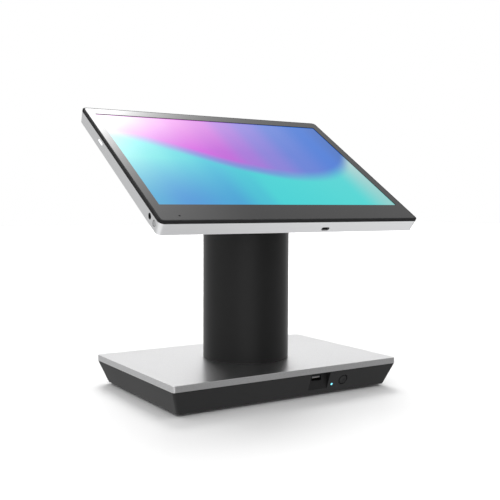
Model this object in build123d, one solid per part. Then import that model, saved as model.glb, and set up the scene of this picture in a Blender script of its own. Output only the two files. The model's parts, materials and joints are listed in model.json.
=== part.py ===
from build123d import *
import math
import os

# A counter-top touchscreen terminal, in millimetres. The parts are drawn about the column's axis with
# the table at height 0, and save() moves them so that the origin is the middle of the whole footprint.

# ---- Base ----
foot_height = 2.5
base_width = 292.0
base_depth = 197.4
base_corner = 3.0
plate_thickness = 6.84
plate_edge_round = 0.5
body_height = 24.8
body_inset = 9.3
body_low_corner = 3.4
shadow_gap = 0.5
shadow_inset = 1.4
shell_wall = 2.5
deck_thickness = 2.4
sheet = 1.2
body_bottom = foot_height
body_top = body_bottom + body_height
plate_top = body_top + plate_thickness
slope = body_inset / body_height
slope_out = (0, -1 / math.hypot(1, slope), -slope / math.hypot(1, slope))

# ---- Front pocket, its port, light and button ----
pocket_left = 24.0
pocket_right = 50.3
pocket_floor = 7.9
pocket_wall_y = -91.2
port_x = 35.7
port_z = 20.5
light_x = 56.0
light_z = 11.7
light_radius = 1.3
button_x = 71.1
button_z = 15.5
button_radius = 5.2
button_groove = 0.9
button_travel = 0.7

# ---- Rear pocket and its ports ----
rear_half_width = 78.0
rear_wall_y = 85.0
rear_floor = 6.5
board_top = 9.2
board_thickness = 1.6

# ---- Column ----
column_radius = 50.0
column_wall = 3.0
column_top = 182.0
seam_height = 0.8
post_radius = 25.0
post_wall = 2.5
flange_thickness = 4.0
cap_thickness = 7.5
cap_gap = 0.1

# ---- Swivel and tilt hinge ----
hub_radius = 15.0
hub_bore = 11.0
running_fit = 0.05
turret_radius = 42.0
turret_thickness = 4.5
turret_bottom = column_top + 0.4
turret_top = turret_bottom + turret_thickness
swivel_half_range = 90.0
stop_ring_radius = 33.0
stop_pin_radius = 2.0
pivot_y = -25.0
pivot_z = 203.2
shaft_radius = 4.0
lug_inner = 16.0
lug_outer = 22.0
ear_inner = 23.6
ear_outer = 30.6
knuckle_radius = 10.0

# ---- Head; u runs right, v runs up the glass, w runs out of the glass ----
tilt = 32.04
glass_centre_y = -4.73
glass_centre_z = 264.24
head_width = 333.0
head_high_v = 112.2
head_low_v = -127.1
head_corner = 6.0
rim_width = 2.6
rim_depth = 3.2
rim_slope_width = 1.4
rim_slope_depth = 0.8
glass_corner = head_corner - rim_width
glass_back = 1.8
border_thickness = 0.7
frame_back = 16.8
frame_draft = 1.3
frame_wall = 3.0
cover_back = 22.0
cover_floor = 2.0
cover_inset = 12.0
cover_round = 1.5
side_wall_u = -166.0
head_mid_v = (head_high_v + head_low_v) / 2
head_height = head_high_v - head_low_v
active_width = 309.4
active_height = 193.4

angle = math.radians(tilt)
pivot_v = (pivot_y - glass_centre_y) * math.cos(angle) + (pivot_z - glass_centre_z) * math.sin(angle)
pivot_w = (pivot_z - glass_centre_z) * math.cos(angle) - (pivot_y - glass_centre_y) * math.sin(angle)

# The head's lower edge, under its sloped rim, reaches furthest forward, and the plate reaches furthest back.
low_edge_reach = -head_low_v * math.cos(angle) - rim_slope_depth * math.sin(angle)
head_reach = low_edge_reach - glass_centre_y
base_y = (head_reach - base_depth / 2) / 2

to_origin = Location((0, base_y, 0))
head_place = Location((0, glass_centre_y, glass_centre_z), (tilt, 0, 0))
along_x = Rotation(0, 90, 0)
up_down = (-1, 1)

os.makedirs("parts", exist_ok=True)


def save(name, *pieces):
    """Write one node, made of one solid or of a group of alike solids."""
    solids = [solid for piece in pieces for solid in (to_origin * piece).solids()]
    shape = solids[0] if len(solids) == 1 else Compound(children=solids)
    export_step(shape, f"parts/{name}.step")


def save_head(name, *pieces):
    save(name, *[head_place * piece for piece in pieces])


def block(x0, x1, y0, y1, z0, z1):
    size = (x1 - x0, y1 - y0, z1 - z0)
    return Pos((x0 + x1) / 2, (y0 + y1) / 2, (z0 + z1) / 2) * Box(*size)


def rod(radius, low, high, x=0.0, y=0.0):
    """A cylinder along Z between two heights."""
    return Pos(x, y, (low + high) / 2) * Cylinder(radius, high - low)


def rod_x(radius, low, high, y=0.0, z=0.0):
    """A cylinder along X between two stations."""
    return Pos((low + high) / 2, y, z) * along_x * Cylinder(radius, high - low)


def ring(outer, inner, low, high, x=0.0, y=0.0):
    return rod(outer, low, high, x, y) - rod(inner, low - 1, high + 1, x, y)


def ring_x(outer, inner, low, high, y=0.0, z=0.0):
    return rod_x(outer, low, high, y, z) - rod_x(inner, low - 1, high + 1, y, z)


def slab(width, height, radius, low, high, x=0.0, y=0.0):
    """A plate with rounded corners."""
    return Pos(x, y, low) * extrude(RectangleRounded(width, height, radius), high - low)


def tapered(low_size, low_z, high_size, high_z, y=0.0):
    """A solid between two rounded rectangles, each given as width, depth and corner radius."""
    low = Pos(0, y, low_z) * RectangleRounded(*low_size)
    high = Pos(0, y, high_z) * RectangleRounded(*high_size)
    return loft([low, high], ruled=True)


def polar(radius, degrees):
    return radius * math.cos(math.radians(degrees)), radius * math.sin(math.radians(degrees))


def screw(head_radius, head_height, shank_radius, shank_length):
    """A pan head screw standing on its head at height 0, with its shank going up."""
    body = rod(head_radius, -head_height, 0) + rod(shank_radius, 0, shank_length)
    socket = extrude(RegularPolygon(head_radius * 0.45, 6), head_height * 0.6)
    return body - Pos(0, 0, -head_height) * socket


def slope_y(z):
    """How far forward the front slope of the body is at a height."""
    return -(base_depth / 2 - body_inset + (z - body_bottom) * slope)


def on_slope(x, z):
    """The frame of a fitting on the front slope, with its Z pointing out of the body."""
    return Plane(origin=(x, slope_y(z), z), x_dir=(1, 0, 0), z_dir=slope_out).location


button_place = on_slope(button_x, button_z)
light_place = on_slope(light_x, light_z)

# ---- Base plate ----
post_bolts = PolarLocations(34, 4, start_angle=45)
cap_bolts = PolarLocations(27, 3, start_angle=90)


def base_top_plate():
    plate = slab(base_width, base_depth, base_corner, body_top, plate_top)
    plate = fillet(plate.faces().sort_by(Axis.Z)[-1].edges(), plate_edge_round)
    plate -= rod(20, body_top - 1, plate_top + 1)
    for spot in post_bolts:
        plate -= spot * rod(2.5, plate_top - 6, plate_top + 1)
    return plate


# ---- Body shell: tapered walls, a deck under the plate and a pocket in the front and in the back ----
boss_spots = [(sx * 122, sy * 76) for sx in up_down for sy in up_down]
rear_ports = {
    "dc_inlet": (-64.0, 10.0, 11.0),
    "rear_usb_ports": (-33.0, 34.0, 7.4),
    "lan_port": (2.0, 16.0, 13.4),
    "drawer_port": (28.0, 13.4, 11.6),
}


def body_outline(inset, z):
    """Width, depth and corner radius of the body at a height, moved in by inset."""
    share = (z - body_bottom) / body_height
    shrink = 2 * (body_inset * (1 - share) + inset)
    corner = body_low_corner + (base_corner - body_low_corner) * share
    return base_width - shrink, base_depth - shrink, max(corner - inset, 1.0)


def body_solid(inset, low, high):
    """The tapered body between two heights, moved in by inset."""
    return tapered(body_outline(inset, low), low, body_outline(inset, high), high)


def base_shell():
    lip = body_top - shadow_gap
    deck = lip - deck_thickness
    shell = body_solid(0, body_bottom, lip) + slab(*body_outline(shadow_inset, lip), lip, body_top)
    shell -= body_solid(shell_wall, body_bottom - 1, deck)
    shell -= rod(46, deck - 1, body_top + 1)
    left = pocket_left - shell_wall
    right = pocket_right + shell_wall
    back = pocket_wall_y + shell_wall
    pocket_walls = block(left, right, -110, back, pocket_floor - 2, deck)
    reach = rear_half_width + shell_wall
    rear_walls = block(-reach, reach, rear_wall_y - shell_wall, 110, rear_floor - 2, deck)
    shell += (pocket_walls + rear_walls) & body_solid(0.5, body_bottom, lip)
    shell -= block(pocket_left, pocket_right, -110, pocket_wall_y, pocket_floor, body_top + 1)
    shell -= block(-rear_half_width, rear_half_width, rear_wall_y, 110, rear_floor, body_top + 1)
    shell -= Pos(port_x, -90, port_z) * Box(13.5, 10, 6.1)
    shell -= button_place * rod(button_radius + button_groove, -8, 2)
    shell -= light_place * rod(light_radius + 0.03, -8, 2)
    for x, width, height in rear_ports.values():
        shell -= block(x - width / 2, x + width / 2, 80, 90, board_top, board_top + height)
    for x, y in boss_spots:
        shell += rod(4, body_bottom + 2, deck + 0.5, x, y) - rod(1.52, body_bottom, body_top - 5, x, y)
    return shell


# ---- Under the base ----
cover_low = body_bottom + 0.6
cover_high = cover_low + sheet


def bottom_cover():
    width, depth, corner = body_outline(shell_wall + 0.3, body_bottom)
    cover = slab(width, depth, corner, cover_low, cover_high)
    for x, y in boss_spots:
        cover -= rod(1.7, cover_low - 1, cover_high + 1, x, y)
    for column in range(-6, 7):
        cover -= slab(3, 24, 1.4, cover_low - 1, cover_high + 1, column * 9, 0)
    return cover


def base_feet():
    """Four rubber discs stuck under the cover."""
    disc = chamfer(rod(9, 0, cover_low).edges().sort_by(Axis.Z)[0], 0.5)
    return [Pos(sx * 104, sy * 72, 0) * disc for sx in up_down for sy in up_down]


def bottom_screws():
    return [Pos(x, y, cover_low) * screw(2.9, 0.6, 1.5, 9) for x, y in boss_spots]


def ballast_plate():
    plate = slab(220, 88, 6, cover_high + 0.1, cover_high + 5.1)
    for sx in up_down:
        plate -= slab(70, 30, 4, 0, 20, sx * 60)
    return plate


# ---- Boards and ports of the base ----
front_board_y = -79.0


def io_board():
    board = slab(176, 34, 2, board_top - board_thickness, board_top, 0, 65)
    for sx in up_down:
        board -= rod(1.6, 0, 20, sx * 82, 54)
    return board


def front_board():
    board = block(20, 84, front_board_y, front_board_y + 1.2, 10, 23)
    chip = block(30, 40, front_board_y + 1.2, front_board_y + 3, 12, 20)
    return board + chip


def usb_a_shell(depth):
    """A USB A socket along +Y with its mouth at y = 0 and its middle on the axis."""
    can = Box(13.1, depth, 5.7) - Pos(0, -0.4, 0) * Box(12.5, depth, 5.1)
    tongue = Pos(0, 0.6, 1.0) * Box(11.1, depth - 1.6, 1.84)
    return Pos(0, depth / 2, 0) * (can + tongue)


def usb_a_port():
    return Pos(port_x, pocket_wall_y - 0.3, port_z) * usb_a_shell(front_board_y - pocket_wall_y + 0.2)


def rear_usb_ports():
    x = rear_ports["rear_usb_ports"][0]
    turned = Rotation(0, 0, 180) * usb_a_shell(16)
    return [Pos(x + side * 8.5, rear_wall_y + 0.3, board_top + 3.2) * turned for side in up_down]


def jack_port(x, width, height, depth, mouth):
    """A modular jack on the rear wall, open to the back, with a keyway for the plug's latch."""
    front = rear_wall_y + 0.3
    low = board_top + 0.1
    body = block(x - width / 2, x + width / 2, front - depth, front, low, low + height)
    mouth_low = low + 1.2
    body -= block(x - mouth / 2, x + mouth / 2, front - 12, front + 1, mouth_low, mouth_low + 6.8)
    body -= block(x - 3, x + 3, front - 12, front + 1, mouth_low + 6.7, mouth_low + 8.6)
    return body


def dc_inlet():
    x = rear_ports["dc_inlet"][0]
    front = rear_wall_y + 0.3
    body = block(x - 4.8, x + 4.8, front - 13, front, board_top + 0.1, board_top + 10.8)
    axis = Pos(x, front, board_top + 5.6) * Rotation(90, 0, 0)
    return body - axis * rod(3.2, -1, 9) + axis * rod(1.0, 1, 10)


def base_power_button():
    cap = rod(button_radius, -3.6, 0)
    cap = chamfer(cap.edges().sort_by(Axis.Z)[-1], 0.25)
    return button_place * (cap + rod(6.9, -3.6, -2.75) + rod(1.6, -8.0, -3.6))


def base_button_switch():
    return button_place * (Pos(0, 0, -10.8) * Box(6.2, 6.2, 3.4))


def base_status_light():
    return light_place * (rod(light_radius, -4.5, 0) + rod(2.4, -4.5, -2.6))


# ---- Column ----
def column_foot_ring():
    return ring(column_radius - 0.7, column_radius - column_wall - 1, plate_top, plate_top + seam_height)


def column_tube():
    tube = rod(column_radius, plate_top + seam_height, column_top)
    tube = fillet(tube.edges().sort_by(Axis.Z)[-1], 1.5)
    return tube - rod(column_radius - column_wall, plate_top, column_top + 1)


def post_top():
    return column_top - cap_thickness - cap_gap


def post_foot():
    """The flange that the post is welded to."""
    foot = ring(42, post_radius - post_wall, plate_top, plate_top + flange_thickness)
    for spot in post_bolts:
        foot -= spot * rod(2.7, plate_top - 1, plate_top + flange_thickness + 1)
    return foot


def column_post():
    low = plate_top + flange_thickness
    return ring(post_radius, post_radius - post_wall, low, post_top() - flange_thickness)


def post_head():
    """The flange that the cap is screwed to."""
    flange = ring(33, post_radius - post_wall, post_top() - flange_thickness, post_top())
    for spot in cap_bolts:
        flange -= spot * rod(1.52, post_top() - 10, post_top() + 1)
    return flange


def post_bolt_group():
    bolt = Pos(0, 0, plate_top + flange_thickness) * Rotation(180, 0, 0) * screw(4.5, 3, 2.45, 9)
    return [spot * bolt for spot in post_bolts]


def column_cap():
    low = column_top - cap_thickness
    high = column_top - 0.5
    cap = rod(column_radius - column_wall - 0.1, low, high)
    cap -= rod(hub_radius + running_fit, low - 1, high + 1)
    half = swivel_half_range + 5
    groove = ring(stop_ring_radius + 2.6, stop_ring_radius - 2.6, high - 3.4, high + 1)
    arc = Pos(0, 0, high - 4) * make_face(
        Polyline((0, 0), *[polar(60, -90 - half + step * half / 3) for step in range(7)], (0, 0))
    )
    cap -= groove & extrude(arc, 8)
    for spot in cap_bolts:
        cap -= spot * (rod(1.7, low - 1, high + 1) + rod(2.9, high - 1.6, high + 1))
    return cap


def cap_screws():
    head = Pos(0, 0, column_top - 0.5 - 1.6) * Rotation(180, 0, 0) * screw(2.7, 1.4, 1.5, 9.5)
    return [spot * head for spot in cap_bolts]


# ---- Swivel: a turret whose hollow hub turns in the cap ----
def swivel_washer():
    return ring(25.5, hub_radius + 0.5, column_top - 0.45, turret_bottom - 0.1)


def swivel_turret():
    turret = rod(turret_radius, turret_bottom, turret_top)
    turret = fillet(turret.edges().sort_by(Axis.Z)[-1], 1.2)
    turret += rod(hub_radius, column_top - 17, turret_bottom + 1)
    turret += rod(stop_pin_radius, column_top - 3.2, turret_bottom + 1, 0, -stop_ring_radius)
    for side in up_down:
        left = side * (ear_inner + ear_outer) / 2 - (ear_outer - ear_inner) / 2
        right = left + ear_outer - ear_inner
        web = block(left, right, pivot_y - knuckle_radius, pivot_y + knuckle_radius, turret_top - 1, pivot_z)
        turret += web + rod_x(knuckle_radius, left, right, pivot_y, pivot_z)
    turret -= rod(hub_bore, column_top - 20, turret_top + 1)
    turret -= rod_x(shaft_radius + 0.02, -50, 50, pivot_y, pivot_z)
    return turret


def swivel_retainer():
    return ring(21, hub_radius + 0.02, column_top - 14, column_top - 11.5)


def swivel_spring():
    return ring(20, hub_radius + 0.3, column_top - 11.3, column_top - cap_thickness - 0.3)


# ---- Tilt hinge: a fixed shaft in the turret's ears, squeezed by disc springs ----
def tilt_shaft():
    return rod_x(shaft_radius, -38, 38, pivot_y, pivot_z)


def both_sides(near, far, outer):
    """A ring on the shaft at each side, between two distances from the middle."""
    bore = shaft_radius + 0.05
    right = ring_x(outer, bore, near, far, pivot_y, pivot_z)
    left = ring_x(outer, bore, -far, -near, pivot_y, pivot_z)
    return [left, right]


def tilt_washers():
    return both_sides(lug_outer + 0.2, ear_inner - 0.05, 8.5)


def disc_springs():
    return both_sides(ear_outer + 0.05, ear_outer + 1.6, 7.5)


def tilt_nuts():
    nut = extrude(RegularPolygon(6.5, 6, major_radius=False), 4) - rod(shaft_radius + 0.02, -1, 5)
    spots = [ear_outer + 1.7, -ear_outer - 5.7]
    return [Pos(x, pivot_y, pivot_z) * along_x * nut for x in spots]


# ---- Head ----
def head_slab(inset, radius, low, high):
    """A plate of the head's outline moved in by inset, between two depths w."""
    return slab(head_width - 2 * inset, head_height - 2 * inset, radius, low, high, 0, head_mid_v)


def head_taper(inset_low, radius_low, low, inset_high, radius_high, high):
    low_size = (head_width - 2 * inset_low, head_height - 2 * inset_low, radius_low)
    high_size = (head_width - 2 * inset_high, head_height - 2 * inset_high, radius_high)
    return tapered(low_size, low, high_size, high, head_mid_v)


mic_u = -141.5
mic_v = -117.4
mic_radius = 1.1
jack_v = -104.6
jack_w = -8.5
jack_hole = 3.35
power_v = -116.4
power_w = -9.0
power_radius = 2.75
power_travel = 0.6
lamp_v = 42.0
lamp_w = -7.6
lamp_length = 12.0
lamp_height = 2.5
type_c_u = 35.5
type_c_w = -12.4
type_c_depth = 0.8
low_wall_v = -126.0


def touch_glass():
    glass = head_slab(rim_width + 0.03, glass_corner, -glass_back, -border_thickness)
    return glass - rod(mic_radius, -5, 1, mic_u, mic_v)


def glass_border():
    """The black border bonded on the glass, with a window for the picture."""
    border = head_slab(rim_width + 0.03, glass_corner, -border_thickness, 0)
    border -= slab(active_width + 0.4, active_height + 0.4, 0.3, -border_thickness - 1, 1)
    return border - rod(mic_radius, -5, 1, mic_u, mic_v)


def screen_surround():
    low_corner = head_corner - rim_slope_width
    rim = head_slab(0, head_corner, -rim_depth, -rim_slope_depth)
    rim += head_taper(0, head_corner, -rim_slope_depth, rim_slope_width, low_corner, 0)
    rim -= head_slab(rim_width, glass_corner, -glass_back, 1)
    return rim - head_slab(6.5, 2.0, -rim_depth - 1, 1)


def side_slot(length, height, depth):
    """A slot shaped bar along U on the left wall, centred on the lamp."""
    bar = extrude(SlotOverall(length, height), depth)
    return Pos(0, lamp_v, lamp_w) * Rotation(0, 90, 0) * Rotation(0, 0, 90) * bar


def low_slot(length, height, depth):
    """A slot shaped bar along V from the lower wall, centred on the port."""
    bar = extrude(SlotOverall(length, height), depth)
    return Pos(type_c_u, 0, type_c_w) * Rotation(-90, 0, 0) * bar


def head_frame():
    frame = head_taper(frame_draft, head_corner - frame_draft, -frame_back, 0, head_corner, -rim_depth)
    frame -= head_slab(frame_wall, head_corner - frame_wall, -frame_back - 1, 0)
    frame -= rod_x(jack_hole, -180, -160, jack_v, jack_w)
    frame -= rod_x(power_radius + 0.77, -180, -160, power_v, power_w)
    frame -= Pos(-180, 0, 0) * side_slot(lamp_length + 0.1, lamp_height + 0.1, 20)
    frame -= Pos(0, -135, 0) * low_slot(10.6, 4.4, 15)
    return frame


recess = 35.0
recess_floor = 20.0
recess_v = pivot_v + 5
bracket_spots = [(su * 27, recess_v + sv * 25) for su in up_down for sv in up_down]
back_spots = [(su * 143, v) for su in up_down for v in (-104, -8, 88)]
speaker_u = 92.0
speaker_v = -103.0


def back_cover():
    top_inset = frame_draft + 1
    cover = head_taper(cover_inset, 6, -cover_back, top_inset, head_corner - top_inset, -frame_back)
    cover = fillet(cover.faces().sort_by(Axis.Z)[0].edges(), cover_round)
    floor = -cover_back + cover_floor
    cover -= head_taper(cover_inset + 1.5, 4.5, floor, top_inset + 2.5, 2, -frame_back + 0.1)
    cover += slab(2 * recess + 6, 2 * recess + 6, 4, -recess_floor, -recess_floor + 2.4, 0, recess_v)
    cover -= slab(2 * recess, 2 * recess, 3, -cover_back - 1, -recess_floor, 0, recess_v)
    for row in (35.0, 62.0):
        for column in range(-11, 12):
            cover -= slab(3, 20, 1.4, -cover_back - 1, -recess_floor + 1, column * 8, row)
    for side in up_down:
        for column in range(-3, 4):
            spot = side * speaker_u + column * 5
            cover -= slab(2, 12, 0.9, -cover_back - 1, -recess_floor + 1, spot, speaker_v)
    for u, v in bracket_spots:
        cover -= rod(2.02, -30, 0, u, v)
    for u, v in back_spots:
        cover -= rod(1.6, -30, 0, u, v) + rod(3, -cover_back - 1, -cover_back + 1, u, v)
    return cover


def bracket_screws():
    turned = screw(3.6, 1.2, 2.0, 7.0)
    return [Pos(u, v, -recess_floor - 2.6) * turned for u, v in bracket_spots]


def back_screws():
    turned = screw(2.8, 0.9, 1.5, 8.0)
    return [Pos(u, v, -cover_back + 1.0) * turned for u, v in back_spots]


def lcd_panel():
    return slab(active_width + 7, active_height + 9, 1, -5.4, -glass_back - 0.1)


def mid_frame():
    plate = slab(292, 224, 4, -7.0, -5.6, 0, head_mid_v)
    for su in up_down:
        for v in (-28, 78):
            plate += rod(3, -9.9, -6.9, su * 88, v)
    for column in range(-2, 3):
        plate -= slab(30, 40, 3, -8, -5, column * 50, -75)
    for u, v in back_spots:
        plate -= rod(5, -10, 0, u, v)
    return plate


def main_board():
    board = slab(188, 122, 3, -11.6, -10.0, 0, 27)
    memory = [block(50 + step, 56 + step, -10, 60, -14.0, -11.6) for step in (0, 12)]
    socket = block(-85, -70, 0, 60, -14.5, -11.6)
    return board + memory[0] + memory[1] + socket


def processor():
    return slab(26, 26, 1, -13.2, -11.65, -10, 45)


def heat_sink():
    sink = slab(96, 84, 2, -14.8, -13.25, -14, 42)
    for fin in range(17):
        u = -14 - 44 + fin * 5.5
        sink += block(u - 0.7, u + 0.7, 2, 82, -19.4, -14.7)
    return sink


def speakers():
    case = fillet(block(-32, 32, -8, 8, -14.8, -7.3).edges().filter_by(Axis.Z), 3)
    cone = rod(6.5, -16, -14)
    one = case - cone
    return [Pos(su * speaker_u, speaker_v, 0) * one for su in up_down]


def side_board():
    return block(-161.0, -149, -121, -96, -12.8, -11.8)


def audio_jack():
    barrel = rod_x(jack_hole - 0.05, side_wall_u + 0.9, -162, jack_v, jack_w)
    body = block(-163, -150, jack_v - 3.4, jack_v + 3.4, jack_w - 3.2, jack_w + 3.2)
    return barrel + body - rod_x(1.8, -170, -152, jack_v, jack_w)


def head_power_button():
    cap = rod_x(power_radius, side_wall_u, -162.2, power_v, power_w)
    cap = chamfer(cap.edges().sort_by(Axis.X)[0], 0.2)
    flange = rod_x(4.2, -163.0, -162.2, power_v, power_w)
    return cap + flange + rod_x(1.2, -162.3, -160.6, power_v, power_w)


def power_button_ring():
    return ring_x(3.5, power_radius + 0.3, side_wall_u - 0.15, -163.5, power_v, power_w)


def side_switch():
    return block(-159.6, -155.6, power_v - 2.8, power_v + 2.8, -11.7, -6.4)


def status_light():
    return Pos(side_wall_u + 0.1, 0, 0) * side_slot(lamp_length, lamp_height, 4.0)


def usb_board():
    return slab(26, 18, 1, -10.6, -9.4, type_c_u, -113.5)


def usb_c_port():
    can = low_slot(8.94, 3.26, 8.0) - Pos(0, -0.4, 0) * low_slot(8.34, 2.66, 8.0)
    tongue = block(type_c_u - 3.35, type_c_u + 3.35, 0.8, 7.8, type_c_w - 0.35, type_c_w + 0.35)
    return Pos(0, low_wall_v + type_c_depth, 0) * (can + tongue)


def microphone():
    return rod(2.4, -3.6, -glass_back - 0.05, mic_u, mic_v)


def hinge_bracket():
    low = -recess_floor - 2.6
    plate = slab(2 * recess - 2, 2 * recess - 2, 3, low, -recess_floor - 0.05, 0, recess_v)
    for side in up_down:
        left = side * (lug_inner + lug_outer) / 2 - (lug_outer - lug_inner) / 2
        right = left + lug_outer - lug_inner
        web = block(left, right, pivot_v - knuckle_radius, pivot_v + knuckle_radius, pivot_w, low + 1)
        plate += web + rod_x(knuckle_radius, left, right, pivot_v, pivot_w)
    plate -= rod_x(shaft_radius + running_fit, -50, 50, pivot_v, pivot_w)
    for u, v in bracket_spots:
        plate -= rod(2.1, -30, 0, u, v)
    return plate - slab(18, 26, 4, -30, 0, 0, recess_v)


base_nodes = [
    ("base_top_plate", base_top_plate()),
    ("base_shell", base_shell()),
    ("bottom_cover", bottom_cover()),
    ("base_feet", *base_feet()),
    ("bottom_screws", *bottom_screws()),
    ("ballast_plate", ballast_plate()),
    ("io_board", io_board()),
    ("front_board", front_board()),
    ("usb_a_port", usb_a_port()),
    ("rear_usb_ports", *rear_usb_ports()),
    ("lan_port", jack_port(rear_ports["lan_port"][0], 15.7, 13.2, 20, 11.8)),
    ("drawer_port", jack_port(rear_ports["drawer_port"][0], 13.2, 11.4, 16, 9.8)),
    ("dc_inlet", dc_inlet()),
    ("base_power_button", base_power_button()),
    ("base_button_switch", base_button_switch()),
    ("base_status_light", base_status_light()),
    ("column_foot_ring", column_foot_ring()),
    ("column_tube", column_tube()),
    ("post_foot", post_foot()),
    ("column_post", column_post()),
    ("post_head", post_head()),
    ("post_bolts", *post_bolt_group()),
    ("column_cap", column_cap()),
    ("cap_screws", *cap_screws()),
    ("swivel_washer", swivel_washer()),
    ("swivel_turret", swivel_turret()),
    ("swivel_retainer", swivel_retainer()),
    ("swivel_spring", swivel_spring()),
    ("tilt_shaft", tilt_shaft()),
    ("tilt_washers", *tilt_washers()),
    ("disc_springs", *disc_springs()),
    ("tilt_nuts", *tilt_nuts()),
]

head_nodes = [
    ("touch_glass", touch_glass()),
    ("glass_border", glass_border()),
    ("screen_surround", screen_surround()),
    ("head_frame", head_frame()),
    ("back_cover", back_cover()),
    ("lcd_panel", lcd_panel()),
    ("mid_frame", mid_frame()),
    ("main_board", main_board()),
    ("processor", processor()),
    ("heat_sink", heat_sink()),
    ("speakers", *speakers()),
    ("side_board", side_board()),
    ("audio_jack", audio_jack()),
    ("head_power_button", head_power_button()),
    ("power_button_ring", power_button_ring()),
    ("side_switch", side_switch()),
    ("status_light", status_light()),
    ("usb_board", usb_board()),
    ("usb_c_port", usb_c_port()),
    ("microphone", microphone()),
    ("hinge_bracket", hinge_bracket()),
    ("bracket_screws", *bracket_screws()),
    ("back_screws", *back_screws()),
]

for name, *pieces in base_nodes:
    save(name, *pieces)

for name, *pieces in head_nodes:
    save_head(name, *pieces)

print(f"column axis at y {base_y:.4f}, tilt axis at y {base_y + pivot_y:.4f}, z {pivot_z:.4f}")
print(f"pivot in the head: v {pivot_v:.3f}, w {pivot_w:.3f}")
print(f"power button pushes along {[round(-value, 5) for value in slope_out]}, travel {button_travel}")
print(f"side button travel {power_travel}")
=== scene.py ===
import bpy
import bmesh
import json
import math
from mathutils import Matrix, Vector


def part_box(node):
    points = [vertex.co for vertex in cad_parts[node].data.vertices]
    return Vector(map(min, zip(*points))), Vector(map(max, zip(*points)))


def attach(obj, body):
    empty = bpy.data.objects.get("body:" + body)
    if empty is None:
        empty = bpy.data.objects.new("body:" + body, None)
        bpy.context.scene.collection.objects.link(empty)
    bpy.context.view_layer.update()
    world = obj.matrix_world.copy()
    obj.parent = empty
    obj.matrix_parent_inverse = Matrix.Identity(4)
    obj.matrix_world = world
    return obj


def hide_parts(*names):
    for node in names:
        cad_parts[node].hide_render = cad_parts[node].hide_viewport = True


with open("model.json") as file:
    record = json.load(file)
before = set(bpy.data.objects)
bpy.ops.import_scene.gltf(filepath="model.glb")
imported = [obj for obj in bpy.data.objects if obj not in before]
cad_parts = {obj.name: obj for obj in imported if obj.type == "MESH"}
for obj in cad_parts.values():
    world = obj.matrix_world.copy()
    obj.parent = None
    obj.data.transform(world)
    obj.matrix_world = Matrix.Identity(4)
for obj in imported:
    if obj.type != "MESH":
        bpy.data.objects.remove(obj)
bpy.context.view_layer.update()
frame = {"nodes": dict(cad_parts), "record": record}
nodes = frame["nodes"]
print("frame loaded,", len(nodes), "nodes")

mm = 0.001
columnLow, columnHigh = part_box("column_tube")
columnMiddle = (columnLow + columnHigh) / 2
glassLow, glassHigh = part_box("touch_glass")
glassMiddle = (glassLow + glassHigh) / 2

head = {
    "tilt": math.radians(32.04),  # the glass above horizontal
    "activeWidth": 309.4 * mm,
    "activeHeight": 193.4 * mm,
    "activeRise": 7.45 * mm,  # the picture's middle above the glass's middle
    "glassThickness": 1.1 * mm,
    "glassSetBack": 0.7 * mm,  # below the border's face
}
headTurn = Matrix.Rotation(head["tilt"], 4, "X")
activeMiddle = glassMiddle + headTurn @ Vector((0, head["activeRise"], head["glassThickness"] / 2))
headPlace = Matrix.Translation(activeMiddle) @ headTurn @ Matrix.Translation((0, 0, head["glassSetBack"]))


# shader helpers
def newMaterial(name):
    material = bpy.data.materials.new(name)
    material.use_nodes = True
    tree = material.node_tree
    return material, tree, tree.nodes["Principled BSDF"]


def addNode(tree, kind, **settings):
    node = tree.nodes.new(kind)
    for key, value in settings.items():
        setattr(node, key, value)
    return node


def setInputs(node, values):
    for key, value in values.items():
        node.inputs[key].default_value = value


def mathNode(tree, operation, *values):
    node = addNode(tree, "ShaderNodeMath", operation=operation)
    for socket, value in zip(node.inputs, values):
        if isinstance(value, (int, float)):
            socket.default_value = value
        else:
            tree.links.new(value, socket)
    return node.outputs[0]


def smoothStep(tree, source, low, high):
    node = addNode(tree, "ShaderNodeMapRange", interpolation_type="SMOOTHSTEP")
    setInputs(node, {"From Min": low, "From Max": high})
    tree.links.new(source, node.inputs["Value"])
    return node.outputs["Result"]


def curveNode(tree, source, points):
    node = addNode(tree, "ShaderNodeFloatCurve")
    spots = node.mapping.curves[0].points
    while len(spots) < len(points):
        spots.new(0.5, 0.5)
    for spot, place in zip(spots, points):
        spot.location = place
    node.mapping.update()
    tree.links.new(source, node.inputs["Value"])
    return node.outputs["Value"]


def alongAxis(tree, source, axis):
    node = addNode(tree, "ShaderNodeVectorMath", operation="DOT_PRODUCT")
    tree.links.new(source, node.inputs[0])
    node.inputs[1].default_value = axis
    return node.outputs["Value"]


def newGroup(name, inputs, outputs):
    # inputs and outputs give the kind of socket for each name
    group = bpy.data.node_groups.new(name, "ShaderNodeTree")
    for direction, sockets in (("INPUT", inputs), ("OUTPUT", outputs)):
        for label, kind in sockets.items():
            group.interface.new_socket(label, in_out=direction, socket_type="NodeSocket" + kind)
    return group, group.nodes.new("NodeGroupInput"), group.nodes.new("NodeGroupOutput")


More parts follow.
